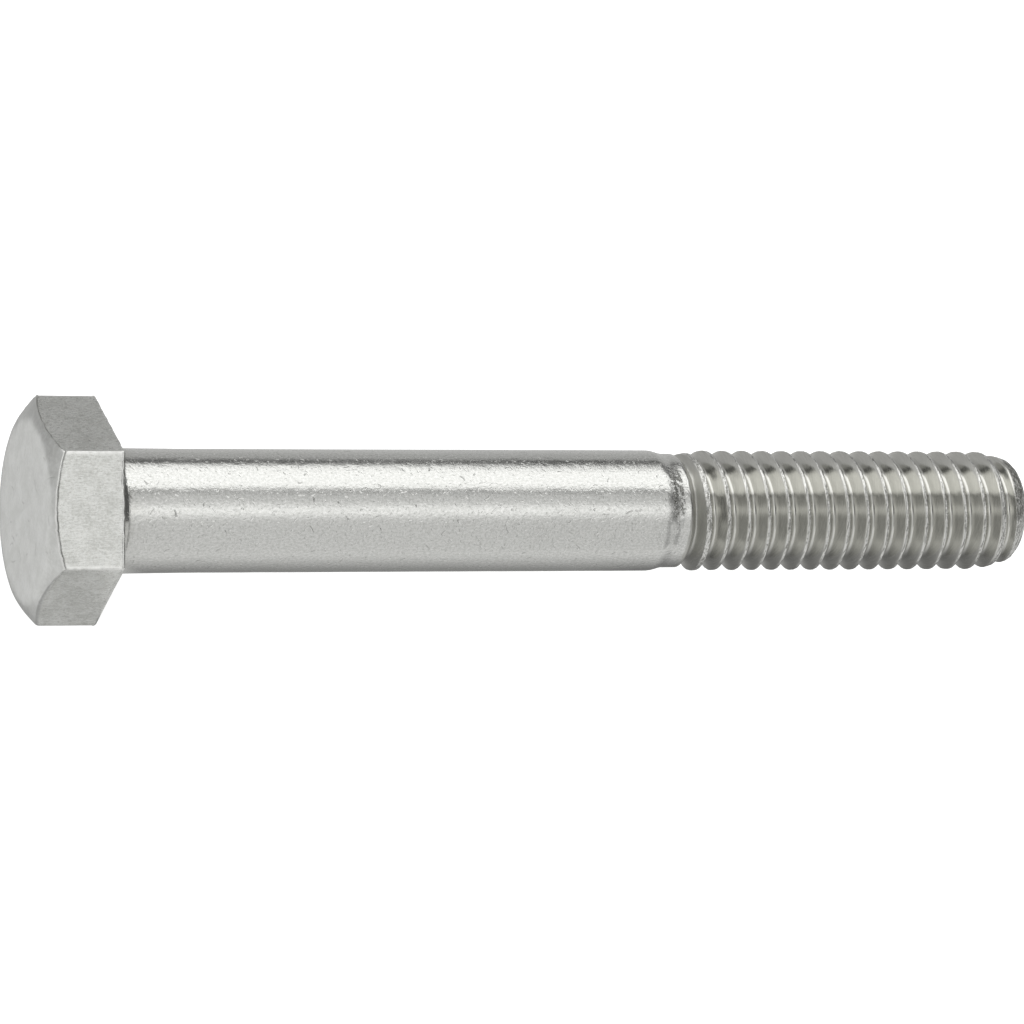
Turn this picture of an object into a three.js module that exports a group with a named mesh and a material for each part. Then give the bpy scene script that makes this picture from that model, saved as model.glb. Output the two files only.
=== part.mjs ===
// Stainless hex head cap screw, 5/16-18 UNC x 2 1/2 in.
// The real bolt is one forged and thread-rolled piece of metal. It is given here as the three regions
// that its standard dimensions: hex_head, shank and thread. They meet face to face on flat planes.
//
// Millimetres. The axis runs along +X, from the centre of the crown face at the origin to the tip.
// Two of the six wrench flats face +Z and -Z, so two corners point along +Y and -Y.
// An angle around the axis is measured from +Y towards +Z. The thread is right-handed about +X.

import * as THREE from "three";
import { mergeVertices } from "three/addons/utils/BufferGeometryUtils.js";

const MM_PER_INCH = 25.4;
const TURN = 2 * Math.PI;

// Head
const HEAD_HEIGHT = (3 / 16) * MM_PER_INCH;
const ACROSS_FLATS = 12.6;
const CORNER_RADIUS = 0.32; // the six long edges are slightly rounded
const CROWN_RADIUS = 5.8; // the flat disc inside the chamfer
const CHAMFER_SLOPE = Math.tan(THREE.MathUtils.degToRad(30)); // drop along the axis per radius

// Shank
const BODY_DIAMETER = 7.87;
const BODY_LENGTH = 37.4; // under the head, where the shoulder begins
const SWELL = 0.06; // how much the body's radius grows towards the head
const SWELL_LENGTH = 8.0;
const FILLET_HEIGHT = 0.4; // the flared collar that carries the body into the head
const FILLET_LENGTH = 1.0;
const FILLET_CURVE = 1.2; // 1 would be a straight cone

// Thread
const LENGTH_UNDER_HEAD = 2.5 * MM_PER_INCH;
const PITCH = MM_PER_INCH / 18;
const MAJOR_DIAMETER = 7.86;
const MINOR_DIAMETER = 6.16; // at the feet of the flanks
const CREST_FLAT = 0.12; // share of the pitch
const ROOT_WIDTH = 0.2; // share of the pitch, between the feet of the flanks
const ROOT_SAG = 0.06; // share of the depth, from the feet of the flanks to the middle of the root
const CREST_PLACE = 41.2; // under the head, of a crest on the +Y side
const BLANK_RADIUS = 3.72; // the reduced stem that the thread is rolled on
const SHOULDER = [37.4, 38.5]; // under the head, from the body down to the reduced stem
const GROOVE_START = [38.9, 39.9]; // where the first groove reaches its full depth
const CREST_START = [39.9, 40.7]; // where the first crest rises to its full height
const TAPER_START = 61.3; // under the head, where the crests begin to drop towards the point
const TAPER_SLOPE = 0.27; // radius lost per length
const POINT_LENGTH = 0.35; // the 45 degree break around the tip face

// Fineness of the faceted solids
const SIDES = 36;
const BODY_STEPS = [0, 0.3, 0.6, 0.85, 1.0, 2.5, 5.0, 8.0, 20.0, BODY_LENGTH]; // under the head
const FLAT_STEPS = [-27, -20, -10, 0, 10, 20, 27]; // degrees across one flat, from its middle

const headEnd = HEAD_HEIGHT;
const tip = HEAD_HEIGHT + LENGTH_UNDER_HEAD;
const bodyRadius = BODY_DIAMETER / 2;
const majorRadius = MAJOR_DIAMETER / 2;
const minorRadius = MINOR_DIAMETER / 2;

function around(x, radius, angle) {
  return new THREE.Vector3(x, radius * Math.cos(angle), radius * Math.sin(angle));
}

// A closed body around the X axis: rows of points from the low end to the high end, joined by
// triangles that face out, with a fan of triangles over each end. Triangles that have shrunk
// to a line, where rows run together, are left out.
function closedSkin(rowCount, columnCount, pointAt) {
  const corners = [];
  const addTriangle = (a, b, c) => corners.push(a, b, c);
  for (let row = 0; row + 1 < rowCount; row++) {
    for (let column = 0; column < columnCount; column++) {
      const low = pointAt(row, column);
      const lowNext = pointAt(row, column + 1);
      const high = pointAt(row + 1, column);
      const highNext = pointAt(row + 1, column + 1);
      addTriangle(low, lowNext, highNext);
      addTriangle(low, highNext, high);
    }
  }
  const lastRow = rowCount - 1;
  const lowCentre = new THREE.Vector3(pointAt(0, 0).x, 0, 0);
  const highCentre = new THREE.Vector3(pointAt(lastRow, 0).x, 0, 0);
  for (let column = 0; column < columnCount; column++) {
    addTriangle(lowCentre, pointAt(0, column + 1), pointAt(0, column));
    addTriangle(highCentre, pointAt(lastRow, column), pointAt(lastRow, column + 1));
  }
  const soup = new THREE.BufferGeometry().setFromPoints(corners);
  const merged = mergeVertices(soup, 1e-4);
  const whole = [];
  for (let i = 0; i < merged.index.count; i += 3) {
    const [a, b, c] = [0, 1, 2].map((k) => merged.index.getX(i + k));
    if (a !== b && b !== c && c !== a) whole.push(a, b, c);
  }
  merged.setIndex(whole);
  merged.computeVertexNormals();
  return merged;
}

// Distance from the axis to the wrench flats and their rounded corners, in the direction `angle`.
// Corners lie at 0, 60, 120 ... degrees.
function hexRadius(angle) {
  const sector = TURN / 6;
  const fromCorner = angle - sector * Math.round(angle / sector);
  const arcCentre = (ACROSS_FLATS / 2 - CORNER_RADIUS) / Math.cos(sector / 2);
  const offset = arcCentre * Math.sin(fromCorner);
  const onArc = Math.abs(fromCorner) <= cornerHalfAngle() + 1e-9;
  if (onArc) return arcCentre * Math.cos(fromCorner) + Math.sqrt(CORNER_RADIUS ** 2 - offset ** 2);
  return ACROSS_FLATS / 2 / Math.cos(sector / 2 - Math.abs(fromCorner));
}

// Half of the angle that one rounded corner takes up, seen from the axis.
function cornerHalfAngle() {
  const halfSector = TURN / 12;
  const arcCentre = (ACROSS_FLATS / 2 - CORNER_RADIUS) / Math.cos(halfSector);
  const along = arcCentre + CORNER_RADIUS * Math.cos(halfSector);
  return Math.atan2(CORNER_RADIUS * Math.sin(halfSector), along);
}

// Hexagonal prism with a 30 degree chamfer around its crown. The bearing face carries a ring of
// points just outside the fillet, so that its outer part is a plain flat ring.
function hexHead() {
  const angles = [];
  for (let corner = 0; corner < 6; corner++) {
    const cornerAngle = (corner * TURN) / 6;
    const flatMiddle = cornerAngle + TURN / 12;
    angles.push(cornerAngle, cornerAngle + cornerHalfAngle());
    for (const step of FLAT_STEPS) angles.push(flatMiddle + THREE.MathUtils.degToRad(step));
    angles.push(cornerAngle + TURN / 6 - cornerHalfAngle());
  }
  const bearingRing = bodyAt(0) + 0.15;
  const rows = [
    () => [0, CROWN_RADIUS],
    (angle) => [(hexRadius(angle) - CROWN_RADIUS) * CHAMFER_SLOPE, hexRadius(angle)],
    (angle) => [headEnd, hexRadius(angle)],
    () => [headEnd, bearingRing],
  ];
  return closedSkin(rows.length, angles.length, (row, column) => {
    const angle = angles[column % angles.length];
    const [x, radius] = rows[row](angle);
    return around(x, radius, angle);
  });
}

// Radius of the flared collar and the plain body, `under` millimetres below the head.
function bodyAt(under) {
  const swell = SWELL * (1 - Math.min(1, under / SWELL_LENGTH)) ** 2;
  const fillet = FILLET_HEIGHT * Math.max(0, 1 - under / FILLET_LENGTH) ** FILLET_CURVE;
  return bodyRadius + swell + fillet;
}

// Flared collar under the head, then the plain body, which swells slightly towards the head.
function shank() {
  return closedSkin(BODY_STEPS.length, SIDES, (row, column) => {
    const under = BODY_STEPS[row];
    return around(headEnd + under, bodyAt(under), ((column % SIDES) * TURN) / SIDES);
  });
}

// Depth of the thread below its crest, `phase` pitches away from the middle of a crest: 0 on the
// crest, 1 at the feet of the flanks and a little more in the middle of the root.
function threadDepth(phase) {
  const fromCrest = Math.abs(phase - Math.round(phase));
  const rootFoot = (1 - ROOT_WIDTH) / 2;
  if (fromCrest >= rootFoot) {
    return 1 + (ROOT_SAG * (fromCrest - rootFoot)) / (0.5 - rootFoot);
  }
  return Math.max(0, (fromCrest - CREST_FLAT / 2) / (rootFoot - CREST_FLAT / 2));
}

// Radius of the shoulder, run-out, thread and point, `under` millimetres below the head.
function threadRadius(under, phase) {
  const { lerp, smoothstep } = THREE.MathUtils;
  const stem = lerp(bodyRadius, BLANK_RADIUS, smoothstep(under, ...SHOULDER));
  const crest = lerp(stem, majorRadius, smoothstep(under, ...CREST_START));
  const groove = smoothstep(under, ...GROOVE_START) * threadDepth(phase);
  const rolled = crest - groove * (crest - minorRadius);
  const pointStart = LENGTH_UNDER_HEAD - POINT_LENGTH;
  const taper = majorRadius - TAPER_SLOPE * Math.max(0, Math.min(under, pointStart) - TAPER_START);
  const point = taper - Math.max(0, under - pointStart);
  return Math.min(rolled, point);
}

// Reduced shoulder, run-out, rolled thread and point. The rows of the skin follow the helix, so the
// edges of the crests and roots are true edges of the solid.
function thread() {
  const rootFoot = (1 - ROOT_WIDTH) / 2;
  const phases = [-CREST_FLAT / 2, CREST_FLAT / 2, rootFoot, 0.5, 1 - rootFoot];
  const rowsPerTurn = phases.length;
  const firstTurn = Math.floor((BODY_LENGTH - CREST_PLACE) / PITCH) - 1;
  const lastTurn = Math.ceil((LENGTH_UNDER_HEAD - CREST_PLACE) / PITCH);
  const rowCount = (lastTurn - firstTurn + 1) * rowsPerTurn;
  return closedSkin(rowCount, SIDES, (row, column) => {
    const turn = firstTurn + Math.floor(row / rowsPerTurn);
    const phase = phases[row % rowsPerTurn];
    const helixPlace = CREST_PLACE + PITCH * (turn + phase + column / SIDES);
    const under = THREE.MathUtils.clamp(helixPlace, BODY_LENGTH, LENGTH_UNDER_HEAD);
    const phaseHere = (under - CREST_PLACE) / PITCH - column / SIDES;
    return around(headEnd + under, threadRadius(under, phaseHere), (column * TURN) / SIDES);
  });
}

function steel(color, roughness) {
  return new THREE.MeshStandardMaterial({ color, roughness, metalness: 1 });
}

function region(name, geometry, material) {
  const mesh = new THREE.Mesh(geometry, material);
  mesh.name = name;
  return mesh;
}

const bolt = new THREE.Group();
bolt.add(region("hex_head", hexHead(), steel(0xc4c5c1, 0.38)));
bolt.add(region("shank", shank(), steel(0xcfcfca, 0.25)));
bolt.add(region("thread", thread(), steel(0xaeaca5, 0.3)));

export default bolt;
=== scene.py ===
import functools
import itertools
import math

import bmesh
import bpy
import numpy as np
from mathutils import Matrix, Vector


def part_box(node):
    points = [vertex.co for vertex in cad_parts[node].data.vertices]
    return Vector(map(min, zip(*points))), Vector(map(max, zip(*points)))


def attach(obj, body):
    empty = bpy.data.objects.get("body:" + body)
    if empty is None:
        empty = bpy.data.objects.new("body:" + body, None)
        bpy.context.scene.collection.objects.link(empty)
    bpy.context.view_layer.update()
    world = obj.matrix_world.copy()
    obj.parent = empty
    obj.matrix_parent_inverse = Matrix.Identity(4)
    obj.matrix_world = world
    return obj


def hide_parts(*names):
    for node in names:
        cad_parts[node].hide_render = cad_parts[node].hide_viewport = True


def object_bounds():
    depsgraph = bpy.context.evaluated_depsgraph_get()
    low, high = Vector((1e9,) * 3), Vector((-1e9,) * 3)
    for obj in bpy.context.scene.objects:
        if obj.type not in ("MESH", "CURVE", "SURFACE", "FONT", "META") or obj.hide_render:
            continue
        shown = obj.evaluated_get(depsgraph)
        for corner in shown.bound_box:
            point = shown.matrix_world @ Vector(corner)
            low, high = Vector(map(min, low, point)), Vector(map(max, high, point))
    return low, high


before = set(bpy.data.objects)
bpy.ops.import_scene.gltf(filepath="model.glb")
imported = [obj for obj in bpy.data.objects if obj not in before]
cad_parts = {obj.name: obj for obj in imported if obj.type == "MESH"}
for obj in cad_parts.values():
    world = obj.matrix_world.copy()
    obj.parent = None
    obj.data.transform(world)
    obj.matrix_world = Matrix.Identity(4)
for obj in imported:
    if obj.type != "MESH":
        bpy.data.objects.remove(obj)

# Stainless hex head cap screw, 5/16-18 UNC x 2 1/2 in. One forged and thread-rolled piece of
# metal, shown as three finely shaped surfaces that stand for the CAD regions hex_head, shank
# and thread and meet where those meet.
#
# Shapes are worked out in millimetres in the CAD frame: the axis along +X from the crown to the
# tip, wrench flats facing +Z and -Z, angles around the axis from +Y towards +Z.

MM = 0.001
TURN = 2 * math.pi
CAD_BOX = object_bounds()


def extent(node, axis):
    """Lowest and highest place of a CAD node along one axis, in millimetres."""
    low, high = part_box(node)
    return low[axis] / MM, high[axis] / MM


HEAD_END = extent("hex_head", 0)[1]
SHANK_END = extent("shank", 0)[1]
TIP = extent("thread", 0)[1]
HALF_ACROSS_FLATS = extent("hex_head", 2)[1]

# Head. Trimming left its edges crisp on one side; on the other side they are soft.
CROWN_RADIUS = 5.8
CROWN_GROWTH = 0.17  # the chamfer is slightly off centre, and narrower on the front flat
CROWN_SOFTNESS = 0.40
CHAMFER_SLOPE = math.tan(math.radians(30))
SECTOR = TURN / 6
BURR_SIDE = math.radians(120)  # the middle of the crisp side
FRONT_FLAT = 150.0  # degrees, the middle of the flat whose edges are worn bright and painted with highlights
SOFT_CORNER, CRISP_CORNER = 0.34, 0.09  # rounding of the six long edges
SOFT_EDGE, CRISP_EDGE = 0.30, 0.03  # rounding between the chamfer and the flats
SOFT_BEARING_EDGE, CRISP_BEARING_EDGE = 0.16, 0.11
BURR_HEIGHT, BURR_PLACE, BURR_WIDTH = 0.045, 0.03, 0.055
LIP_HEIGHT, LIP_PLACE, LIP_WIDTH = 0.026, 0.04, 0.06
WEAR_AND_HIGHLIGHT_WIDTH = 0.085
# width of the painted shade line below the chamfer's edge
PAINTED_EDGE_SHADE_WIDTH = 0.045
SHANK_COVER = 3.5  # the bearing face goes on inwards to here, hidden by the shank

# Shank
BODY_RADIUS = 3.935
SWELL = 0.06  # growth of the radius towards the head
SWELL_LENGTH = 8.0
FILLET_HEIGHT = 0.4
FILLET_LENGTH = 1.0
FILLET_CURVE = 1.06  # 1 would be a straight cone
DENT_COUNT = 420
# reach along the shank of the painted shade next to the head
PAINTED_SHADE_LENGTH = 1.3

# Thread, with places measured under the head
PITCH = 25.4 / 18
MAJOR_RADIUS = 3.93
MINOR_RADIUS = 3.08
CREST_HALF = 0.055  # share of the pitch
BLUNT_CREST = 0.06  # more of it where the rolling starts and where it ends
ROOT_FOOT = 0.395  # share of the pitch, from the middle of the crest
ROOT_SAG = 0.06  # share of the depth
CREST_PLACE = 41.2  # a crest on the +Y side
BLANK_RADIUS = 3.72  # the reduced stem that the thread is rolled on
SHOULDER = (37.4, 38.5)
CREST_RISE = (39.9, 40.7)
GROOVE_RISE = (39.05, 39.9)
ROLLED_FROM = 39.18  # where the body's surface ends
DULL_UNTIL = (40.15, 40.45)  # the first groove is matte
BATTERED_SIDE = 130.0  # degrees, where handling dented the shoulder most
TAPER_START = 61.3
TAPER_SLOPE = 0.27  # radius lost per length
POINT_LENGTH = 0.35
DARK_SIDE = 100.0  # degrees, the middle of the side of the point with dark specks
FACE_RINGS = (0.98, 0.93, 0.84, 0.72, 0.58, 0.43, 0.28, 0.12, 0.03)  # shares of the tip face's radius


# ---------------------------------------------------------------- numbers over whole grids

def smoothstep(value, start, end):
    share = np.clip((value - start) / (end - start), 0, 1)
    return share * share * (3 - 2 * share)


def blend(a, b, share):
    return a + (b - a) * share


def soft_max(a, b, width):
    return (a + b + np.sqrt((a - b) ** 2 + width ** 2)) / 2


def soft_min(a, b, width):
    return -soft_max(-a, -b, width)


def solid_noise(points, cell, seed):
    """Smooth random values from -1 to 1 that change over about `cell` millimetres."""
    side = 32
    table = np.random.default_rng(seed).uniform(-1, 1, (side, side, side))
    place = points / cell
    base = np.floor(place).astype(int)
    share = place - base
    share = share * share * (3 - 2 * share)
    total = 0
    for corner in itertools.product((0, 1), repeat=3):
        weight = np.prod(np.where(corner, share, 1 - share), axis=-1)
        i, j, k = np.moveaxis((base + corner) % side, -1, 0)
        total = total + weight * table[i, j, k]
    return total


def around(x, radius, angle):
    """Points at a distance from the axis, from +Y towards +Z."""
    x, radius, angle = np.broadcast_arrays(x, radius, angle)
    return np.stack([x, radius * np.cos(angle), radius * np.sin(angle)], axis=-1)


# ---------------------------------------------------------------- meshes

def closed_skin(name, grid, attributes, sharp_degrees, after_turn=None):
    """A closed mesh from rows of points around the axis, with a fan over each end. Rows that follow
    a helix go on as another row after a full turn; `after_turn` gives that row for each row."""
    rows, columns, _ = grid.shape
    ends = [grid[0].mean(axis=0), grid[-1].mean(axis=0)]
    points = np.vstack([grid.reshape(-1, 3), ends]) * MM
    index = np.arange(rows * columns).reshape(rows, columns)
    after = np.roll(index, -1, axis=1)
    if after_turn is not None:
        after[:, -1] = index[after_turn, 0]
    quads = np.stack([index[:-1], after[:-1], after[1:], index[1:]], axis=-1).reshape(-1, 4)
    low, high = rows * columns, rows * columns + 1
    faces = quads.tolist()
    faces += [(low, int(b), int(a)) for a, b in zip(index[0], after[0])]
    faces += [(high, int(a), int(b)) for a, b in zip(index[-1], after[-1])]

    mesh = bpy.data.meshes.new(name)
    mesh.from_pydata(points.tolist(), [], faces)
    for key, values in attributes.items():
        layer = mesh.attributes.new(key, "FLOAT", "POINT")
        flat = np.append(values.reshape(-1), [values[0].mean(), values[-1].mean()])
        layer.data.foreach_set("value", flat.astype(np.float32))
    return finish_mesh(name, mesh, sharp_degrees)


def add_object(name, data):
    thing = bpy.data.objects.new(name, data)
    bpy.context.scene.collection.objects.link(thing)
    return thing


def finish_mesh(name, mesh, sharp_degrees):
    shape = bmesh.new()
    shape.from_mesh(mesh)
    bmesh.ops.remove_doubles(shape, verts=shape.verts, dist=2e-7)
    bmesh.ops.dissolve_degenerate(shape, edges=shape.edges, dist=1e-7)
    shape.to_mesh(mesh)
    shape.free()
    mesh.polygons.foreach_set("use_smooth", [True] * len(mesh.polygons))
    mesh.set_sharp_from_angle(angle=math.radians(sharp_degrees))
    return add_object(name, mesh)


# ---------------------------------------------------------------- head

def crispness(angle):
    """1 on the side with sharp edges, 0 on the worn side."""
    return smoothstep(np.cos(angle - BURR_SIDE), -0.2, 0.6)


def corner_radius(angle):
    """Rounding of the long edge that is nearest to a direction."""
    return blend(SOFT_CORNER, CRISP_CORNER, crispness(SECTOR * np.round(angle / SECTOR)))


def corner_half_angle(rounding):
    """Half of the angle that one rounded long edge takes up, seen from the axis."""
    arc_centre = (HALF_ACROSS_FLATS - rounding) / math.cos(SECTOR / 2)
    along = arc_centre + rounding * math.cos(SECTOR / 2)
    return np.arctan2(rounding * math.sin(SECTOR / 2), along)


def hex_radius(angle):
    """Distance from the axis to the flats and their rounded corners."""
    from_corner = np.abs(angle - SECTOR * np.round(angle / SECTOR))
    rounding = corner_radius(angle)
    arc_centre = (HALF_ACROSS_FLATS - rounding) / math.cos(SECTOR / 2)
    offset = np.minimum(arc_centre * np.sin(from_corner), rounding)
    on_arc = arc_centre * np.cos(from_corner) + np.sqrt(rounding ** 2 - offset ** 2)
    on_flat = HALF_ACROSS_FLATS / np.cos(SECTOR / 2 - from_corner)
    return np.where(from_corner <= corner_half_angle(rounding), on_arc, on_flat)


def arc(corner, before, after, radius, steps):
    """Points that round the corner between two directions, all in (x, distance) pairs."""
    before = before / np.linalg.norm(before, axis=0)
    after = after / np.linalg.norm(after, axis=0)
    half = np.arccos(np.clip((before * after).sum(axis=0), -1, 1)) / 2
    reach = radius / np.tan(half)
    bisector = before + after
    bisector = bisector / np.linalg.norm(bisector, axis=0)
    centre = corner + bisector * (radius / np.sin(half))
    start = corner + before * reach
    sweep = math.pi - 2 * half
    spoke = (start - centre) / radius
    aside = np.stack([-spoke[1], spoke[0]])
    aside = aside * np.sign((aside * (corner - start)).sum(axis=0))
    turns = [sweep * k / steps for k in range(steps + 1)]
    return [centre + radius * (spoke * np.cos(turn) + aside * np.sin(turn)) for turn in turns]


def straight(start, end, steps):
    """Points between two ends, without the ends."""
    return [blend(start, end, k / steps) for k in range(1, steps)]


def head_angles():
    """Directions around the head, closest together at its rounded corners."""
    arc_steps, flat_steps, crowding = 4, 48, 0.09
    angles = []
    for sector in range(6):
        corner = sector * SECTOR
        inside, next_inside = corner_half_angle(corner_radius(np.array([corner, corner + SECTOR])))
        across = SECTOR - inside - next_inside
        angles += [corner + inside * k / arc_steps for k in range(-arc_steps, arc_steps)]
        for k in range(flat_steps):
            share = k / flat_steps
            angles.append(corner + inside + across * (share - crowding * math.sin(TURN * share)))
    return np.array(angles)


def crown_height(radius, angle):
    """Place along the axis of the crown and its chamfer, with a soft bend between them."""
    towards_front = smoothstep(np.cos(angle - math.radians(FRONT_FLAT)), 0.5, 0.95)
    bend = CROWN_RADIUS + CROWN_GROWTH * towards_front
    lowest = soft_max(0.0, -bend, CROWN_SOFTNESS)
    return CHAMFER_SLOPE * (soft_max(0.0, radius - bend, CROWN_SOFTNESS) - lowest)


def eased(start, end, steps):
    """Points between two ends, without the ends, closest together near them."""
    shares = [(1 - math.cos(math.pi * k / steps)) / 2 for k in range(1, steps)]
    return [blend(start, end, share) for share in shares]


def head_profile(angle, flat, crisp):
    """Rows of (x, distance) pairs from the crown to the bearing face, the place along the axis
    where the sides start, and the rounding of the bearing edge."""
    edge_radius = blend(SOFT_EDGE, CRISP_EDGE, crisp)
    bearing_edge = blend(SOFT_BEARING_EDGE, CRISP_BEARING_EDGE, crisp)
    along = np.stack([np.ones_like(flat), np.zeros_like(flat)])
    towards_axis = np.stack([np.zeros_like(flat), -np.ones_like(flat)])
    down_chamfer = np.stack([-np.full_like(flat, CHAMFER_SLOPE), -np.ones_like(flat)])

    rim = around(0.0, flat, angle)
    chipped = 0.022 * solid_noise(rim, 0.3, 13) + 0.018 * solid_noise(rim, 0.14, 14)
    bearing_edge = bearing_edge * (1 + 0.5 * crisp * solid_noise(rim, 0.35, 15))
    edge = np.stack([crown_height(flat, angle) + chipped * crisp, flat])
    edge_arc = arc(edge, down_chamfer, along, edge_radius, 6)
    bearing = np.stack([np.full_like(flat, HEAD_END), flat])
    bearing_arc = arc(bearing, -along, towards_axis, bearing_edge, 8)
    inner = np.stack([np.full_like(flat, HEAD_END), np.full_like(flat, SHANK_COVER)])

    rows = []
    soft_start = CROWN_RADIUS - 0.9
    for radius in np.linspace(0.12, soft_start, 20):
        rows.append(np.stack([crown_height(radius, angle), np.full_like(flat, radius)]))
    bend_steps = 26
    for k in range(1, bend_steps):
        radius = blend(soft_start, edge_arc[0][1], k / bend_steps)
        rows.append(np.stack([crown_height(radius, angle), radius]))
    rows += edge_arc
    rows += eased(edge_arc[-1], bearing_arc[0], 60)
    rows += bearing_arc
    rows += straight(bearing_arc[-1], inner, 10)
    rows.append(inner)
    return rows, edge_arc[-1][0], bearing_edge


def make_head():
    angle = head_angles()
    flat = hex_radius(angle)
    crisp = crispness(angle)
    rows, sides_start, bearing_edge = head_profile(angle, flat, crisp)
    x = np.array([row[0] for row in rows])
    radius = np.array([row[1] for row in rows])
    grid = around(x, radius, angle[None, :])
    past_edge = x - sides_start
    to_bearing = HEAD_END - x

    # slight waviness of the forged faces, none where the head meets the shank
    on_side = smoothstep(past_edge, -0.05, 0.3)
    calm = smoothstep(radius, 4.4, 5.4)
    wave = 0.010 * solid_noise(grid, 2.4, 1) + 0.004 * solid_noise(grid, 0.6, 2)
    # burrs that trimming raised along the chamfer's edge and, less, along the bearing edge
    ragged = 1 + 0.5 * solid_noise(grid, 0.45, 3) + 0.3 * solid_noise(grid, 0.17, 4)
    burr = BURR_HEIGHT * crisp ** 2 * np.exp(-((past_edge - BURR_PLACE) / BURR_WIDTH) ** 2)
    lip = LIP_HEIGHT * np.exp(-((to_bearing - bearing_edge - LIP_PLACE) / LIP_WIDTH) ** 2)
    sides = (radius > flat - 0.15) & (to_bearing > 1e-6)
    radius = radius + wave * on_side * calm + (burr + lip) * ragged * sides
    sunk = (0.004 + wave * 0.5) * (1 - on_side) * smoothstep(x, -1, 0.02)
    x = x + np.where(on_side < 1, sunk, 0)
    grid = around(np.clip(x, 0, HEAD_END), radius, angle[None, :])

    front = 1 - smoothstep(np.abs(np.degrees(angle) - FRONT_FLAT), 30.0, 33.0)
    # bright edges: partly wear, partly painted highlight
    wear_and_highlight = head_wear_and_highlight(grid, angle, front, past_edge, to_bearing, bearing_edge)
    # painted shade: dark lines along the chamfer's edge and beside the front flat's bearing edge
    painted_edge_shade = head_painted_edge_shade(grid, angle, front, past_edge, to_bearing)
    crown = 1 - smoothstep(past_edge, -0.06, 0.01)
    attributes = {"wear_and_highlight": wear_and_highlight * crisp, "crown": crown, "painted_edge_shade": painted_edge_shade * crisp}
    return closed_skin("bolt_head", grid, attributes, 50)


def head_wear_and_highlight(grid, angle, front, past_edge, to_bearing, bearing_edge):
    """Bright edges, partly wear and partly painted highlight: the long ones, and those around the
    front flat.
    """
    from_corner = np.abs(angle - SECTOR * np.round(angle / SECTOR))
    outside_corner = np.maximum(from_corner - corner_half_angle(corner_radius(angle)), 0)
    distance = np.minimum(np.abs(past_edge - 0.02), np.abs(to_bearing - bearing_edge - 0.05))
    distance = blend(1.0, distance, front)
    distance = np.minimum(distance, outside_corner * HALF_ACROSS_FLATS)
    wear_and_highlight = np.exp(-(distance / WEAR_AND_HIGHLIGHT_WIDTH) ** 2) * smoothstep(past_edge, -0.08, 0)
    wear_and_highlight = wear_and_highlight * np.clip(0.85 + 0.6 * solid_noise(grid, 0.25, 6), 0, 1)
    return wear_and_highlight * smoothstep(to_bearing, -0.001, 0.02)


def head_painted_edge_shade(grid, angle, front, past_edge, to_bearing):
    """Painted shade: a dark line below the chamfer's edge on the upper side, and beside the front
    flat's bearing edge.
    """
    patchy = np.clip(0.75 + 0.7 * solid_noise(grid, 0.3, 7), 0, 1)
    upper = 1 - smoothstep(np.degrees(angle), 176.0, 182.0)
    below_edge = (past_edge - blend(0.03, 0.12, front)) / PAINTED_EDGE_SHADE_WIDTH
    beside_lip = (to_bearing - 0.02) / LIP_WIDTH
    painted_edge_shade = np.exp(-below_edge ** 2) * upper + np.exp(-beside_lip ** 2) * front
    return painted_edge_shade * patchy * (to_bearing > 1e-6)


# ---------------------------------------------------------------- shank

def swell(under):
    """Growth of the radius towards the head, from the heading of the blank."""
    share = np.clip(1 - under / SWELL_LENGTH, 0, 1)
    return SWELL * share ** 2


def body_texture(grid):
    """Slow waviness of the drawn and handled surface."""
    return 0.006 * solid_noise(grid, 2.2, 11) + 0.0025 * solid_noise(grid, 0.55, 12)


def dents(x, angle, radius, count, seed):
    """Depth of random nicks and dents over a grid."""
    random = np.random.default_rng(seed)
    depth = np.zeros(np.broadcast(x, angle).shape)
    low, high = float(x.min()), float(x.max())
    for _ in range(count):
        place, turned = random.uniform(low, high), random.uniform(0, TURN)
        length, width = random.uniform(0.12, 0.5), random.uniform(0.07, 0.12)
        lean, deep = random.uniform(0, math.pi), random.uniform(0.003, 0.012)
        near = np.abs(x[:, 0] - place) < 1.5
        along = x[near] - place
        aside = ((angle - turned + math.pi) % TURN - math.pi) * radius
        along, aside = np.broadcast_arrays(along, aside)
        u = along * math.cos(lean) + aside * math.sin(lean)
        v = aside * math.cos(lean) - along * math.sin(lean)
        depth[near] += deep * np.exp(-(u / length) ** 2 - (v / width) ** 2)
    return depth


def make_shank():
    columns = 300
    length = SHANK_END - HEAD_END
    angle = (np.arange(columns) * TURN / columns)[None, :]
    fillet = np.linspace(0, FILLET_LENGTH, 16)
    under = np.concatenate([fillet, np.linspace(FILLET_LENGTH, length, 300)[1:]])[:, None]
    rise = FILLET_HEIGHT * np.clip(1 - under / FILLET_LENGTH, 0, 1) ** FILLET_CURVE
    radius = BODY_RADIUS + swell(under) + rise
    x = HEAD_END + under
    clear_of_head = smoothstep(under, 0.2, 1.0)
    clear_of_thread = 1 - smoothstep(under, length - 1.0, length)
    marks = dents(x, angle, BODY_RADIUS, DENT_COUNT, 5) * clear_of_thread
    texture = body_texture(around(x, radius, angle))
    radius = radius + (texture - marks) * clear_of_head
    grid = around(x, radius, angle)
    # painted shade on the shank where it meets the head, patchy
    patchy = np.clip(0.3 + 0.45 * solid_noise(grid, 0.7, 16), 0, 1)
    painted_shade_under_head = np.exp(-(under / PAINTED_SHADE_LENGTH) ** 2) * patchy
    return closed_skin("bolt_shank", grid, {"painted_shade_under_head": painted_shade_under_head}, 40)


# ---------------------------------------------------------------- thread

def bluntness(under):
    """1 at both ends of the rolling, where the crest is still blunt and torn, 0 between them."""
    return 1 - smoothstep(under, 40.6, 42.8) + smoothstep(under, 60.6, 62.0)


def crest_half(under):
    """Half of the crest's width in pitches."""
    return CREST_HALF + BLUNT_CREST * bluntness(under)


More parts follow.
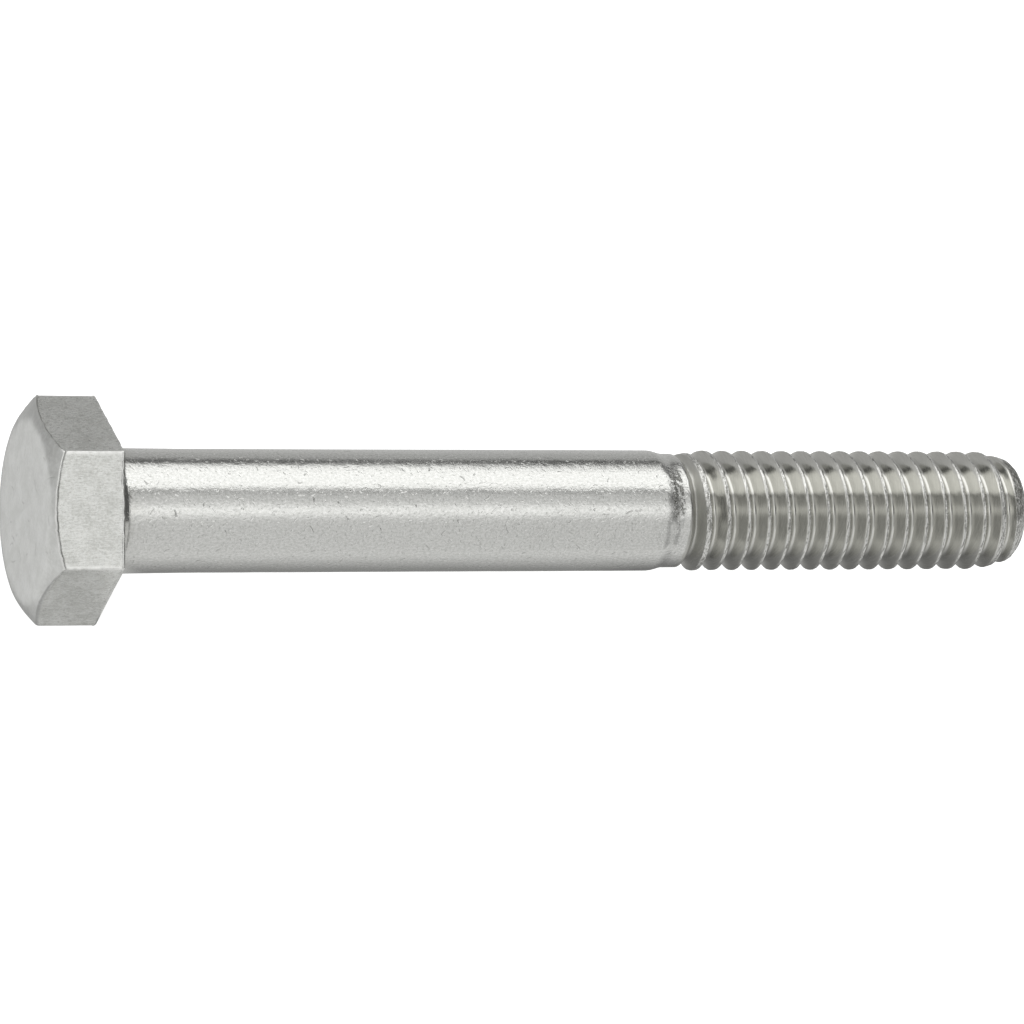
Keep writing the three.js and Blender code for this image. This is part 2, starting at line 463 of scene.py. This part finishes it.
def thread_share(under, phase):
    """Depth of the thread form, from 0 on the crest to 1 in the root."""
    from_crest = np.abs(phase - np.round(phase))
    half = crest_half(under)
    flank = (from_crest - half) / (ROOT_FOOT - half)
    root = 1 + ROOT_SAG * (from_crest - ROOT_FOOT) / (0.5 - ROOT_FOOT)
    share = soft_min(flank, root, 0.09)
    return soft_max(share, 0.0, 0.03) - 0.003


def rolled_radius(under, phase, ragged=0.0):
    """Radius of the shoulder, run-out and thread; `ragged` shifts where the groove starts."""
    shoulder = smoothstep(under, *SHOULDER)
    stem = blend(BODY_RADIUS + swell(under), BLANK_RADIUS, shoulder)
    crest = blend(stem, MAJOR_RADIUS, smoothstep(under, *CREST_RISE))
    depth = smoothstep(under + ragged, *GROOVE_RISE)
    return crest - depth * thread_share(under, phase) * (crest - MINOR_RADIUS)


def point_radius(under):
    """Radius of the tapered point, which cuts the last crests."""
    point_start = TIP - HEAD_END - POINT_LENGTH
    taper = TAPER_SLOPE * soft_max(np.minimum(under, point_start) - TAPER_START, 0, 0.3)
    return MAJOR_RADIUS - taper - np.maximum(0, under - point_start)


def thread_radius(under, phase, ragged=0.0):
    return soft_min(rolled_radius(under, phase, ragged), point_radius(under), 0.015)


def helix_rows(columns):
    """Places under the head and phases of rows that follow the helix, and for each row the one
    that it goes on as after a full turn."""
    crest = np.linspace(-0.13, 0.13, 11)
    flank = np.linspace(0.16, 0.38, 7)
    root = np.linspace(0.41, 0.59, 5)
    phases = np.concatenate([crest, flank, root, 1 - flank[::-1]])
    start, end = SHANK_END - HEAD_END, TIP - HEAD_END
    first = math.floor((start - CREST_PLACE) / PITCH) - 1
    last = math.ceil((end - CREST_PLACE) / PITCH) + 1
    turned = np.arange(columns) / columns
    place = np.concatenate([turn + phases for turn in range(first, last)])[:, None]
    under = np.clip(CREST_PLACE + PITCH * (place + turned), start, end)
    phase = (under - CREST_PLACE) / PITCH - turned
    after_turn = np.minimum(np.arange(len(place)) + len(phases), len(place) - 1)
    return under, phase, after_turn


def make_thread():
    columns = 168
    angle = (np.arange(columns) * TURN / columns)[None, :]
    under, phase, after_turn = helix_rows(columns)
    grid = around(HEAD_END + under, thread_radius(under, phase), angle)
    start_noise = 0.10 * solid_noise(grid, 0.5, 26) + 0.07 * solid_noise(grid, 0.2, 27)
    radius = thread_radius(under, phase, 0.3 * start_noise)

    # the folded seam along the crest, torn where the thread is blunt
    from_crest = (phase - np.round(phase)) * PITCH
    formed = smoothstep(under, 39.9, 40.6) * (1 - smoothstep(under, 60.8, 61.6))
    wander = 0.03 * solid_noise(grid, 0.9, 21) + 0.02 * solid_noise(grid, 0.3, 22)
    seam_depth = 0.030 * np.clip(0.1 + solid_noise(grid, 0.35, 23), 0, 1.0)
    seam = seam_depth * np.exp(-((from_crest - wander) / 0.035) ** 2) * formed
    ragged = (0.016 + 0.014 * bluntness(under)) * solid_noise(grid, 0.2, 24)
    ragged = ragged * np.exp(-(from_crest / 0.16) ** 2) * smoothstep(under, 39.4, 40.4)

    # the body's surface up to the first groove, and the dents of the shoulder
    plain = 1 - smoothstep(under, 38.6, 39.4)
    texture = body_texture(grid) * plain + 0.003 * solid_noise(grid, 0.5, 25) * (1 - plain)
    most = smoothstep(np.cos(angle - math.radians(BATTERED_SIDE)), 0.78, 0.98)
    battered = smoothstep(under, 37.6, 38.1) * (1 - smoothstep(under, 38.5, 39.1))
    battered = battered * (0.25 + 0.75 * most)
    texture += battered * (0.024 * solid_noise(grid, 0.33, 28) + 0.020 * solid_noise(grid, 0.17, 29))
    tip_under = TIP - HEAD_END
    clear_of_tip = 1 - smoothstep(under, tip_under - 0.2, tip_under - 0.02)
    radius = radius + (texture + ragged - seam) * clear_of_tip
    grid = around(HEAD_END + under, radius, angle)

    # where the surface is the body's, the crest's or dull, with painted shade beside the roots and
    # dark specks on the cut crest at the point
    surface_end = ROLLED_FROM - start_noise
    crest_width = (crest_half(under) + 0.01) * PITCH
    crest = 1 - smoothstep(np.abs(from_crest), crest_width - 0.03, crest_width + 0.02)
    crest = crest * smoothstep(under, 39.6, 40.3)
    last_crest = smoothstep(under, tip_under - 1.0, tip_under - 0.85)
    cut = smoothstep(rolled_radius(under, phase) - point_radius(under), -0.045, -0.01) * last_crest
    speckled = np.clip(0.65 + 0.8 * solid_noise(grid, 0.13, 31), 0, 1)
    dark_side = smoothstep(np.cos(angle - math.radians(DARK_SIDE)), 0.1, 0.7)
    # painted shade on the flank beside each root
    beside_root = (phase - np.floor(phase) - 0.66) / 0.07
    groove_shade = 0.2 * np.exp(-beside_root ** 2) * formed
    attributes = {
        "unrolled": 1 - smoothstep(under, surface_end - 0.04, surface_end + 0.04),
        "crest": np.maximum(crest, cut),
        "battered": battered,
        "blunt": bluntness(under),
        "dull": (1 - smoothstep(under, *DULL_UNTIL)) * (1 - crest),
        "groove_shade_and_tip_specks": np.maximum(groove_shade, cut * dark_side * speckled),
        "face": np.zeros_like(radius),
    }

    # the slightly uneven face at the tip
    shares = np.array(FACE_RINGS)[:, None]
    face = around(TIP, radius[-1] * shares, angle)
    face[..., 0] -= 0.014 + 0.012 * solid_noise(face, 0.6, 30)
    after_turn = np.append(after_turn, len(grid) + np.arange(len(face)))
    grid = np.vstack([grid, face])
    for key, values in attributes.items():
        attributes[key] = np.vstack([values, np.full(face.shape[:2], float(key == "face"))])
    return closed_skin("bolt_thread", grid, attributes, 75, after_turn)


# ---------------------------------------------------------------- materials

# Where two tones stand together, the surface changes between them from spot to spot.
SIDE_TONES = (0.52, 0.525, 0.50, 1), (0.77, 0.775, 0.755, 1)
CROWN_TONES = (0.52, 0.525, 0.51, 1), (0.63, 0.635, 0.625, 1)
SCRATCH_TONE = (0.32, 0.32, 0.30, 1)
WORN_EDGE_AND_HIGHLIGHT_TONE = (0.94, 0.94, 0.92, 1)
BODY_TONES = (0.57, 0.575, 0.555, 1), (0.72, 0.72, 0.705, 1)
FINE_NICK_TONE = (0.42, 0.42, 0.40, 1)
LONG_NICK_TONE = (0.34, 0.34, 0.32, 1)
BRIGHT_NICK_TONE = (0.85, 0.85, 0.83, 1)
# painted shade where the shank meets the head
PAINTED_SHADE_UNDER_HEAD_TONE = (0.36, 0.355, 0.32, 1)
ROLLED_TONES = (0.58, 0.578, 0.55, 1), (0.65, 0.648, 0.615, 1)
CREST_TONES = (0.32, 0.32, 0.30, 1), (0.72, 0.72, 0.70, 1)
FACE_TONES = (0.45, 0.45, 0.43, 1), (0.62, 0.62, 0.60, 1)
DULL_TONE = (0.30, 0.30, 0.28, 1)
# dark tone for painted shade along the head's edges and beside the thread's roots, and for dark
# specks in pits and at the point
PAINTED_SHADE_AND_SPECK_TONE = (0.17, 0.17, 0.155, 1)
THREAD_MIDDLE = 3.5  # radius at which the thread's skin is laid flat


class Nodes:
    """Short ways to add and link shader nodes."""

    def __init__(self, tree):
        self.tree = tree
        tree.nodes.clear()

    def add(self, kind, inputs=None, **settings):
        node = self.tree.nodes.new(kind)
        for key, value in settings.items():
            setattr(node, key, value)
        for key, value in (inputs or {}).items():
            self.feed(node.inputs[key], value)
        return node

    def feed(self, socket, value):
        if isinstance(value, bpy.types.NodeSocket):
            self.tree.links.new(value, socket)
        else:
            socket.default_value = value

    def math(self, operation, *values):
        node = self.tree.nodes.new("ShaderNodeMath")
        node.operation = operation
        for socket, value in zip(node.inputs, values):
            self.feed(socket, value)
        return node.outputs[0]

    def step(self, value, start, end, low=0.0, high=1.0):
        """A smooth change from one value to another."""
        inputs = {"Value": value, "From Min": start, "From Max": end, "To Min": low, "To Max": high}
        node = self.add("ShaderNodeMapRange", inputs, interpolation_type="SMOOTHSTEP")
        return node.outputs["Result"]

    def noise(self, vector, scale, detail=2.0, roughness=0.5):
        inputs = {"Vector": vector, "Scale": scale, "Detail": detail, "Roughness": roughness}
        return self.add("ShaderNodeTexNoise", inputs).outputs["Fac"]

    def stretch(self, vector, scale, rotation=(0, 0, 0)):
        inputs = {"Vector": vector, "Scale": scale, "Rotation": rotation}
        return self.add("ShaderNodeMapping", inputs).outputs["Vector"]

    def relief(self, noise, height):
        """A noise as a rise and fall around zero."""
        return self.math("MULTIPLY", self.math("SUBTRACT", noise, 0.5), height)

    def mix(self, share, low, high):
        return self.add("ShaderNodeMix", {0: share, 2: low, 3: high}).outputs[0]

    def mix_colour(self, share, low, high):
        node = self.add("ShaderNodeMix", {0: share, 6: low, 7: high}, data_type="RGBA")
        return node.outputs[2]

    def times(self, *values):
        return functools.reduce(lambda a, b: self.math("MULTIPLY", a, b), values)

    def total(self, *values):
        return functools.reduce(lambda a, b: self.math("ADD", a, b), values)

    def attribute(self, name):
        return self.add("ShaderNodeAttribute", attribute_name=name).outputs["Fac"]


def millimetres(nodes):
    """The place on the object in millimetres."""
    place = nodes.add("ShaderNodeTexCoord").outputs["Object"]
    return nodes.stretch(place, (1 / MM, 1 / MM, 1 / MM))


def unrolled_place(nodes, place, radius, pitch=0.0):
    """Place along the axis and around it, as if the surface were laid flat. With a pitch, the
    rows follow the helix. The join lies along the top."""
    axes = nodes.add("ShaderNodeSeparateXYZ", {"Vector": place}).outputs
    angle = nodes.math("ARCTAN2", axes["Y"], nodes.times(axes["Z"], -1.0))
    angle = nodes.times(angle, -1.0)
    along = nodes.total(axes["X"], nodes.times(angle, -pitch / TURN))
    flat = {"X": along, "Y": nodes.times(angle, radius), "Z": 0.0}
    return nodes.add("ShaderNodeCombineXYZ", flat).outputs[0]


def nicks(nodes, flat_place, spacing, length, width, seed):
    """Short bowed marks at random places and angles: up to 1 on a mark, 0 beside it."""
    shifted = {0: flat_place, 1: (seed, seed * 1.7, 0)}
    offset = nodes.add("ShaderNodeVectorMath", shifted, operation="ADD").outputs[0]
    inputs = {"Vector": offset, "Scale": 1 / spacing, "Randomness": 1.0}
    cells = nodes.add("ShaderNodeTexVoronoi", inputs, voronoi_dimensions="2D").outputs
    from_middle = {0: offset, 1: cells["Position"]}
    away = nodes.add("ShaderNodeVectorMath", from_middle, operation="SUBTRACT").outputs[0]
    chance = nodes.add("ShaderNodeSeparateColor", {"Color": cells["Color"]}).outputs
    leaning = {"Vector": away, "Angle": nodes.times(chance["Red"], TURN)}
    turned = nodes.add("ShaderNodeVectorRotate", leaning, rotation_type="Z_AXIS").outputs[0]
    axes = nodes.add("ShaderNodeSeparateXYZ", {"Vector": turned}).outputs
    reach = nodes.times(nodes.total(chance["Green"], 0.3), length)
    along = nodes.math("DIVIDE", nodes.math("ABSOLUTE", axes["X"]), reach)
    bow = nodes.times(along, along, 0.25 * length)
    aside = nodes.math("ABSOLUTE", nodes.total(axes["Y"], bow))
    across = nodes.step(aside, 0.2 * width, width, 1.0, 0.0)
    ends = nodes.step(along, 0.5, 1.0, 1.0, 0.0)
    return nodes.times(across, ends, nodes.step(chance["Blue"], 0.15, 0.9))


def steel(name):
    material = bpy.data.materials.new(name)
    material.use_nodes = True
    nodes = Nodes(material.node_tree)
    shader = nodes.add("ShaderNodeBsdfPrincipled", {"Metallic": 1.0})
    output = nodes.add("ShaderNodeOutputMaterial")
    nodes.feed(output.inputs["Surface"], shader.outputs[0])
    return material, nodes, shader


def finish_steel(nodes, shader, height, roughness, tone):
    """Height in millimetres, as a bump."""
    bump = nodes.add("ShaderNodeBump", {"Height": height, "Distance": MM, "Strength": 1.0})
    nodes.feed(shader.inputs["Normal"], bump.outputs["Normal"])
    nodes.feed(shader.inputs["Roughness"], roughness)
    nodes.feed(shader.inputs["Base Color"], tone)


def head_material():
    material, nodes, shader = steel("head_steel")
    place = millimetres(nodes)
    crown = nodes.attribute("crown")
    brushed = nodes.noise(nodes.stretch(place, (1.8, 9.0, 9.0)), 1.5, 4.0, 0.7)
    speckle = nodes.noise(place, 7.0, 3.0, 0.7)
    grain = nodes.noise(place, 5.0, 4.0, 0.6)
    blotches = nodes.noise(place, 0.9, 3.0, 0.6)
    streak_place = nodes.stretch(place, (5.0, 5.0, 0.6), (math.radians(-30), 0, 0))
    streaks = nodes.noise(streak_place, 1.0, 4.0, 0.6)
    axes = nodes.add("ShaderNodeSeparateXYZ", {"Vector": place}).outputs
    across = {"X": axes["Y"], "Y": axes["Z"], "Z": 0.0}
    crown_place = nodes.add("ShaderNodeCombineXYZ", across).outputs[0]
    scratches = nodes.times(nicks(nodes, crown_place, 1.7, 0.5, 0.06, 2.3), crown)

    crown_bumps = nodes.math("SUBTRACT", nodes.relief(streaks, 0.008), nodes.times(scratches, 0.012))
    height = nodes.mix(crown, nodes.relief(brushed, 0.014), crown_bumps)
    height = nodes.total(height, nodes.relief(grain, 0.008))

    side_roughness = nodes.step(brushed, 0.3, 0.7, 0.26, 0.36)
    crown_roughness = nodes.step(grain, 0.3, 0.7, 0.30, 0.37)
    roughness = nodes.mix(crown, side_roughness, crown_roughness)

    side_mottle = nodes.total(nodes.times(brushed, 0.5), nodes.times(speckle, 0.3))
    side_mottle = nodes.total(side_mottle, nodes.times(blotches, 0.2))
    side_tone = nodes.mix_colour(nodes.step(side_mottle, 0.40, 0.60), *SIDE_TONES)
    crown_mottle = nodes.total(nodes.times(blotches, 0.5), nodes.times(grain, 0.5))
    crown_tone = nodes.mix_colour(nodes.step(crown_mottle, 0.35, 0.65), *CROWN_TONES)
    crown_tone = nodes.mix_colour(nodes.times(scratches, 0.35), crown_tone, SCRATCH_TONE)
    tone = nodes.mix_colour(crown, side_tone, crown_tone)
    # worn edges, with painted highlights along them, lighter
    tone = nodes.mix_colour(nodes.times(nodes.attribute("wear_and_highlight"), 0.85), tone, WORN_EDGE_AND_HIGHLIGHT_TONE)
    # painted shade: dark lines along the chamfer's edge and the front flat's bearing edge
    tone = nodes.mix_colour(nodes.times(nodes.attribute("painted_edge_shade"), 0.85), tone, PAINTED_SHADE_AND_SPECK_TONE)
    finish_steel(nodes, shader, height, roughness, tone)
    return material


def body_surface(nodes, place):
    """Height, roughness and colour of the drawn, nicked body."""
    flat = unrolled_place(nodes, place, BODY_RADIUS)
    fine = nicks(nodes, flat, 0.34, 0.10, 0.05, 3.1)
    bright = nicks(nodes, flat, 0.48, 0.15, 0.05, 5.3)
    long = nicks(nodes, flat, 1.15, 0.24, 0.06, 8.7)

    grain = nodes.relief(nodes.noise(flat, 7.0, 3.0, 0.6), 0.007)
    waves = nodes.relief(nodes.noise(flat, 2.2, 2.0, 0.5), 0.012)
    drawn = nodes.relief(nodes.noise(nodes.stretch(flat, (0.5, 9.0, 1.0)), 2.0, 3.0, 0.6), 0.003)
    height = nodes.total(grain, waves, drawn)
    for marks, depth in ((fine, 0.006), (bright, 0.008), (long, 0.016)):
        height = nodes.math("SUBTRACT", height, nodes.times(marks, depth))

    patchy = nodes.noise(nodes.stretch(flat, (0.35, 1.0, 1.0)), 0.8, 4.0, 0.6)
    roughness = nodes.step(patchy, 0.3, 0.7, 0.12, 0.20)

    speckle = nodes.noise(nodes.stretch(flat, (0.7, 1.0, 1.0)), 7.0, 3.0, 0.7)
    tone = nodes.mix_colour(nodes.step(speckle, 0.34, 0.66), *BODY_TONES)
    tone = nodes.mix_colour(nodes.times(fine, 0.15), tone, FINE_NICK_TONE)
    tone = nodes.mix_colour(nodes.times(long, 0.3), tone, LONG_NICK_TONE)
    tone = nodes.mix_colour(nodes.times(bright, 0.6), tone, BRIGHT_NICK_TONE)
    return height, roughness, tone


def shank_material():
    material, nodes, shader = steel("shank_steel")
    height, roughness, tone = body_surface(nodes, millimetres(nodes))
    # painted shade next to the head
    tone = nodes.mix_colour(nodes.attribute("painted_shade_under_head"), tone, PAINTED_SHADE_UNDER_HEAD_TONE)
    finish_steel(nodes, shader, height, roughness, tone)
    return material


def thread_material():
    """The body's surface up to the first groove, then rolled metal with torn crests."""
    material, nodes, shader = steel("thread_steel")
    place = millimetres(nodes)
    unrolled = nodes.attribute("unrolled")
    battered = nodes.attribute("battered")
    crest = nodes.attribute("crest")
    dull = nodes.attribute("dull")
    face = nodes.attribute("face")
    body_height, body_roughness, body_tone = body_surface(nodes, place)
    helix = unrolled_place(nodes, place, THREAD_MIDDLE, PITCH)
    rolled = nodes.noise(nodes.stretch(helix, (14.0, 0.5, 1.0)), 1.5, 3.0, 0.6)
    torn = nodes.noise(nodes.stretch(helix, (1.8, 1.0, 1.0)), 6.5, 4.0, 0.7)
    seams = nodes.noise(nodes.stretch(helix, (9.0, 1.1, 1.0)), 1.2, 2.0, 0.5)
    sheared = nodes.noise(nodes.stretch(place, (1.0, 0.4, 1.6)), 2.5, 4.0, 0.65)
    pits = nodes.step(nodes.noise(place, 4.0, 4.0, 0.85), 0.49, 0.57)
    pitted = nodes.times(pits, nodes.step(battered, 0.45, 0.8))

    tearing = nodes.times(crest, nodes.total(nodes.times(nodes.attribute("blunt"), 0.03), 0.018))
    height = nodes.total(nodes.relief(rolled, 0.003), nodes.times(torn, tearing))
    height = nodes.mix(face, height, nodes.relief(sheared, 0.02))
    body_height = nodes.math("SUBTRACT", body_height, nodes.times(pitted, 0.035))
    height = nodes.mix(unrolled, height, body_height)

    smooth = nodes.step(rolled, 0.3, 0.7, 0.13, 0.20)
    roughness = nodes.total(smooth, nodes.times(crest, 0.06), nodes.times(dull, 0.22))
    roughness = nodes.mix(face, roughness, 0.34)
    body_roughness = nodes.total(body_roughness, nodes.times(battered, 0.10))
    roughness = nodes.mix(unrolled, roughness, body_roughness)

    flecks = nodes.total(nodes.times(torn, 0.5), nodes.times(seams, 0.5))
    crest_tone = nodes.mix_colour(nodes.step(flecks, 0.42, 0.54), *CREST_TONES)
    face_tone = nodes.mix_colour(nodes.step(sheared, 0.35, 0.65), *FACE_TONES)
    tone = nodes.mix_colour(nodes.step(rolled, 0.3, 0.7), *ROLLED_TONES)
    tone = nodes.mix_colour(crest, tone, crest_tone)
    tone = nodes.mix_colour(nodes.times(dull, 0.35), tone, DULL_TONE)
    # painted shade beside the roots, and dark specks on the cut crest at the point
    tone = nodes.mix_colour(nodes.attribute("groove_shade_and_tip_specks"), tone, PAINTED_SHADE_AND_SPECK_TONE)
    tone = nodes.mix_colour(face, tone, face_tone)
    body_tone = nodes.mix_colour(nodes.times(pitted, 0.8), body_tone, PAINTED_SHADE_AND_SPECK_TONE)
    tone = nodes.mix_colour(unrolled, tone, body_tone)
    finish_steel(nodes, shader, height, roughness, tone)
    return material


# ---------------------------------------------------------------- studio

FLOOR_GAP = 0.02  # millimetres
FLAT_FLOOR = 0.8  # metres from the middle, where the floor starts to curve up
SWEEP_RADIUS = 1.4  # metres from the middle, where it ends
SWEEP_HEIGHT = 0.9
SWEEP_STEPS, FLOOR_SIDES = 24, 96
FLOOR_GLOW = 0.88
SHADE_START, SHADE_END, SHADE_REACH = 5.5, 73.0, 8.0
SHADE_CHANGE = (38.0, 44.0)  # from the shank's shade to the thread's
SHADE_SOFT_END, SHADE_SOFT_SIDE = 4.0, 7.0
SHADE_UNDER_SHANK, SHADE_UNDER_THREAD, SHADE_NONE = 0.28, 0.20, 0.80
AZIMUTH, ELEVATION, ROLL = -23.835, 27.569, -11.512  # degrees, of the camera
DISTANCE = 385.83 * MM
AIM = Vector((32.887, -0.046, -0.080)) * MM
SENSOR = 36.0
FOCAL_LENGTH = 209.36
CAMERA_SIDE = (-0.358, -0.811, 0.463)  # from the bolt towards the camera
ROOM_GLOW = 0.30


def make_camera():
    azimuth, elevation, roll = map(math.radians, (AZIMUTH, ELEVATION, ROLL))
    back = Vector((math.sin(azimuth) * math.cos(elevation),
                   -math.cos(azimuth) * math.cos(elevation), math.sin(elevation)))
    level = Vector((math.cos(azimuth), math.sin(azimuth), 0))
    up = back.cross(level) * math.cos(roll) + level * math.sin(roll)
    right = up.cross(back)
    camera = add_object("camera", bpy.data.cameras.new("camera"))
    camera.data.sensor_width = SENSOR
    camera.data.lens = FOCAL_LENGTH
    camera.data.clip_start = 0.02
    camera.data.clip_end = 6.0
    turn = Matrix((right, up, back)).transposed().to_4x4()
    camera.matrix_world = Matrix.Translation(AIM + back * DISTANCE) @ turn
    bpy.context.scene.camera = camera


def floor_profile():
    """Distance from the middle and height above the flat floor, in metres."""
    profile = [(FLAT_FLOOR, 0.0)]
    for k in range(1, SWEEP_STEPS + 1):
        bend = k / SWEEP_STEPS * TURN / 4
        reach = (SWEEP_RADIUS - FLAT_FLOOR) * math.sin(bend)
        profile.append((FLAT_FLOOR + reach, SWEEP_HEIGHT * (1 - math.cos(bend))))
    return profile


def make_floor():
    """A plain pale floor that curves up into a wall far away. The camera sees it, and the metal
    mirrors the studio instead."""
    height = (-HALF_ACROSS_FLATS - FLOOR_GAP) * MM
    centre = sum(CAD_BOX, Vector()) / 2
    points, faces = [(centre.x, centre.y, height)], []
    profile = floor_profile()
    for distance, rise in profile:
        for side in range(FLOOR_SIDES):
            turn = side * TURN / FLOOR_SIDES
            points.append((centre.x + distance * math.cos(turn),
                           centre.y + distance * math.sin(turn), height + rise))
    for side in range(FLOOR_SIDES):
        faces.append((0, 1 + side, 1 + (side + 1) % FLOOR_SIDES))
    for ring in range(len(profile) - 1):
        start = 1 + ring * FLOOR_SIDES
        outer = start + FLOOR_SIDES
        for side in range(FLOOR_SIDES):
            after = (side + 1) % FLOOR_SIDES
            faces.append((start + side, outer + side, outer + after, start + after))
    mesh = bpy.data.meshes.new("floor")
    mesh.from_pydata(points, [], faces)
    mesh.polygons.foreach_set("use_smooth", [True] * len(mesh.polygons))
    floor = add_object("floor", mesh)
    floor.visible_glossy = False
    floor.visible_shadow = False
    floor.visible_diffuse = False
    material = bpy.data.materials.new("pale_floor")
    material.use_nodes = True
    shader = material.node_tree.nodes["Principled BSDF"]
    shader.inputs["Base Color"].default_value = (0.5, 0.5, 0.5, 1)
    shader.inputs["Roughness"].default_value = 1.0
    shader.inputs["Specular IOR Level"].default_value = 0.0
    shader.inputs["Emission Color"].default_value = (1, 1, 1, 1)
    shader.inputs["Emission Strength"].default_value = FLOOR_GLOW
    mesh.materials.append(material)


def make_contact_shadow():
    """The shaded strip of floor under the bolt, seen only as the bolt's underside mirrors it."""
    low, high = SHADE_START, SHADE_END
    height = -HALF_ACROSS_FLATS - 0.5 * FLOOR_GAP
    corners = [(low, -SHADE_REACH, height), (high, -SHADE_REACH, height),
               (high, SHADE_REACH, height), (low, SHADE_REACH, height)]
    mesh = bpy.data.meshes.new("contact_shadow")
    mesh.from_pydata([Vector(corner) * MM for corner in corners], [], [(0, 1, 2, 3)])
    shadow = add_object("contact_shadow", mesh)
    shadow.visible_camera = False
    shadow.visible_diffuse = False
    shadow.visible_shadow = False
    material = bpy.data.materials.new("contact_shadow")
    material.use_nodes = True
    nodes = Nodes(material.node_tree)
    axes = nodes.add("ShaderNodeSeparateXYZ", {"Vector": millimetres(nodes)}).outputs
    aside = nodes.step(nodes.math("ABSOLUTE", axes["Y"]), 0.0, SHADE_SOFT_SIDE)
    before = nodes.step(axes["X"], low, low + SHADE_SOFT_END, 1.0, 0.0)
    beyond = nodes.step(axes["X"], high - SHADE_SOFT_END, high)
    open_floor = nodes.math("MAXIMUM", aside, nodes.math("MAXIMUM", before, beyond))
    under_bolt = nodes.step(axes["X"], *SHADE_CHANGE, SHADE_UNDER_SHANK, SHADE_UNDER_THREAD)
    radiance = nodes.mix(open_floor, under_bolt, SHADE_NONE)
    glow = nodes.add("ShaderNodeEmission", {"Color": (1, 1, 0.99, 1), "Strength": radiance})
    output = nodes.add("ShaderNodeOutputMaterial")
    nodes.feed(output.inputs["Surface"], glow.outputs[0])
    mesh.materials.append(material)


def panel(nodes, height, start, end, radiance, soft_start, soft_end):
    """A band of light all along the bolt, between two heights."""
    rise = nodes.step(height, start - soft_start, start + soft_start)
    fall = nodes.step(height, end - soft_end, end + soft_end, 1.0, 0.0)
    return nodes.times(rise, fall, radiance)


def light_around(nodes, height, along):
    """Light from the room's long sides. A height of 0 is the horizon in front, 90 is overhead and
    180 is the horizon behind. Negative panels are darker gaps."""
    ahead = panel(nodes, height, -95, 66, 0.48, 35, 5)
    ahead = nodes.times(ahead, nodes.step(along, 0.40, 0.50, 1.0, 0.33))
    gap_ahead = panel(nodes, height, 61, 69, -0.14, 2, 2)
    stripe = panel(nodes, height, 21, 39, 0.57, 11, 11)
    stripe = nodes.times(stripe, nodes.step(along, 0.40, 0.55, 1.0, 1.05))
    narrower = nodes.step(along, 0.362, 0.40, 0.0, 11.0)
    overhead_end = nodes.step(nodes.total(height, narrower), 121, 130, 1.15, 0.0)
    overhead = nodes.times(nodes.step(height, 68, 74), overhead_end)
    gap_behind = panel(nodes, height, 130, 141, -0.18, 2, 2)
    behind = nodes.total(panel(nodes, height, 143, 185, 0.21, 4, 1),
                         panel(nodes, height, 166, 185, 0.07, 8, 1),
                         panel(nodes, height, -185, -150, 0.28, 1, 12))
    return nodes.total(ahead, gap_ahead, stripe, overhead, gap_behind, behind, ROOM_GLOW)


def light_beyond_head(nodes, height, axes):
    """The end wall past the head: bright low down, dimmer underneath, with a panel high up."""
    wall = nodes.step(axes["X"], -0.62, -0.97, 0.48, 0.74)
    light = nodes.mix(nodes.step(axes["Z"], -0.15, -0.38), wall, 0.95)
    light = nodes.mix(nodes.step(axes["Z"], -0.62, -0.80), light, 0.50)
    climb = nodes.math("SUBTRACT", axes["Z"], nodes.times(axes["X"], 0.36))
    high_panel = nodes.times(nodes.step(climb, 0.50, 0.56), nodes.step(height, 66, 72))
    high_panel = nodes.times(high_panel, nodes.step(height, 126, 114))
    return nodes.mix(high_panel, light, 1.6)


def make_studio():
    """Soft light from all round, as the metal mirrors it; the camera's own side is dark."""
    world = bpy.data.worlds.new("studio")
    world.use_nodes = True
    bpy.context.scene.world = world
    nodes = Nodes(world.node_tree)
    direction = nodes.add("ShaderNodeTexCoord").outputs["Generated"]
    axes = nodes.add("ShaderNodeSeparateXYZ", {"Vector": direction}).outputs
    front = nodes.times(axes["Y"], -1.0)
    height = nodes.math("DEGREES", nodes.math("ARCTAN2", axes["Z"], front))

    light = light_around(nodes, height, axes["X"])
    beyond_tip = nodes.step(axes["Z"], -0.12, 0.12, 0.8, 0.13)
    light = nodes.mix(nodes.step(axes["X"], 0.69, 0.80), light, beyond_tip)
    beyond_head = light_beyond_head(nodes, height, axes)
    light = nodes.mix(nodes.step(axes["X"], -0.12, -0.28), light, beyond_head)
    towards_camera = {0: direction, 1: CAMERA_SIDE}
    facing = nodes.add("ShaderNodeVectorMath", towards_camera, operation="DOT_PRODUCT")
    light = nodes.mix(nodes.step(facing.outputs["Value"], 0.955, 0.98), light, 0.16)
    glow = {"Color": (1.0, 1.0, 0.99, 1), "Strength": light}
    background = nodes.add("ShaderNodeBackground", glow)
    output = nodes.add("ShaderNodeOutputWorld")
    nodes.feed(output.inputs["Surface"], background.outputs[0])


make_camera()
make_floor()
make_contact_shadow()
make_studio()
bpy.context.scene.view_settings.view_transform = "Standard"

for piece, node, slot, material in (
    (make_head(), "hex_head", "head_steel", head_material()),
    (make_shank(), "shank", "shank_steel", shank_material()),
    (make_thread(), "thread", "thread_steel", thread_material()),
):
    piece.data.materials.append(material)
    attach(piece, "root")
    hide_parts(node)
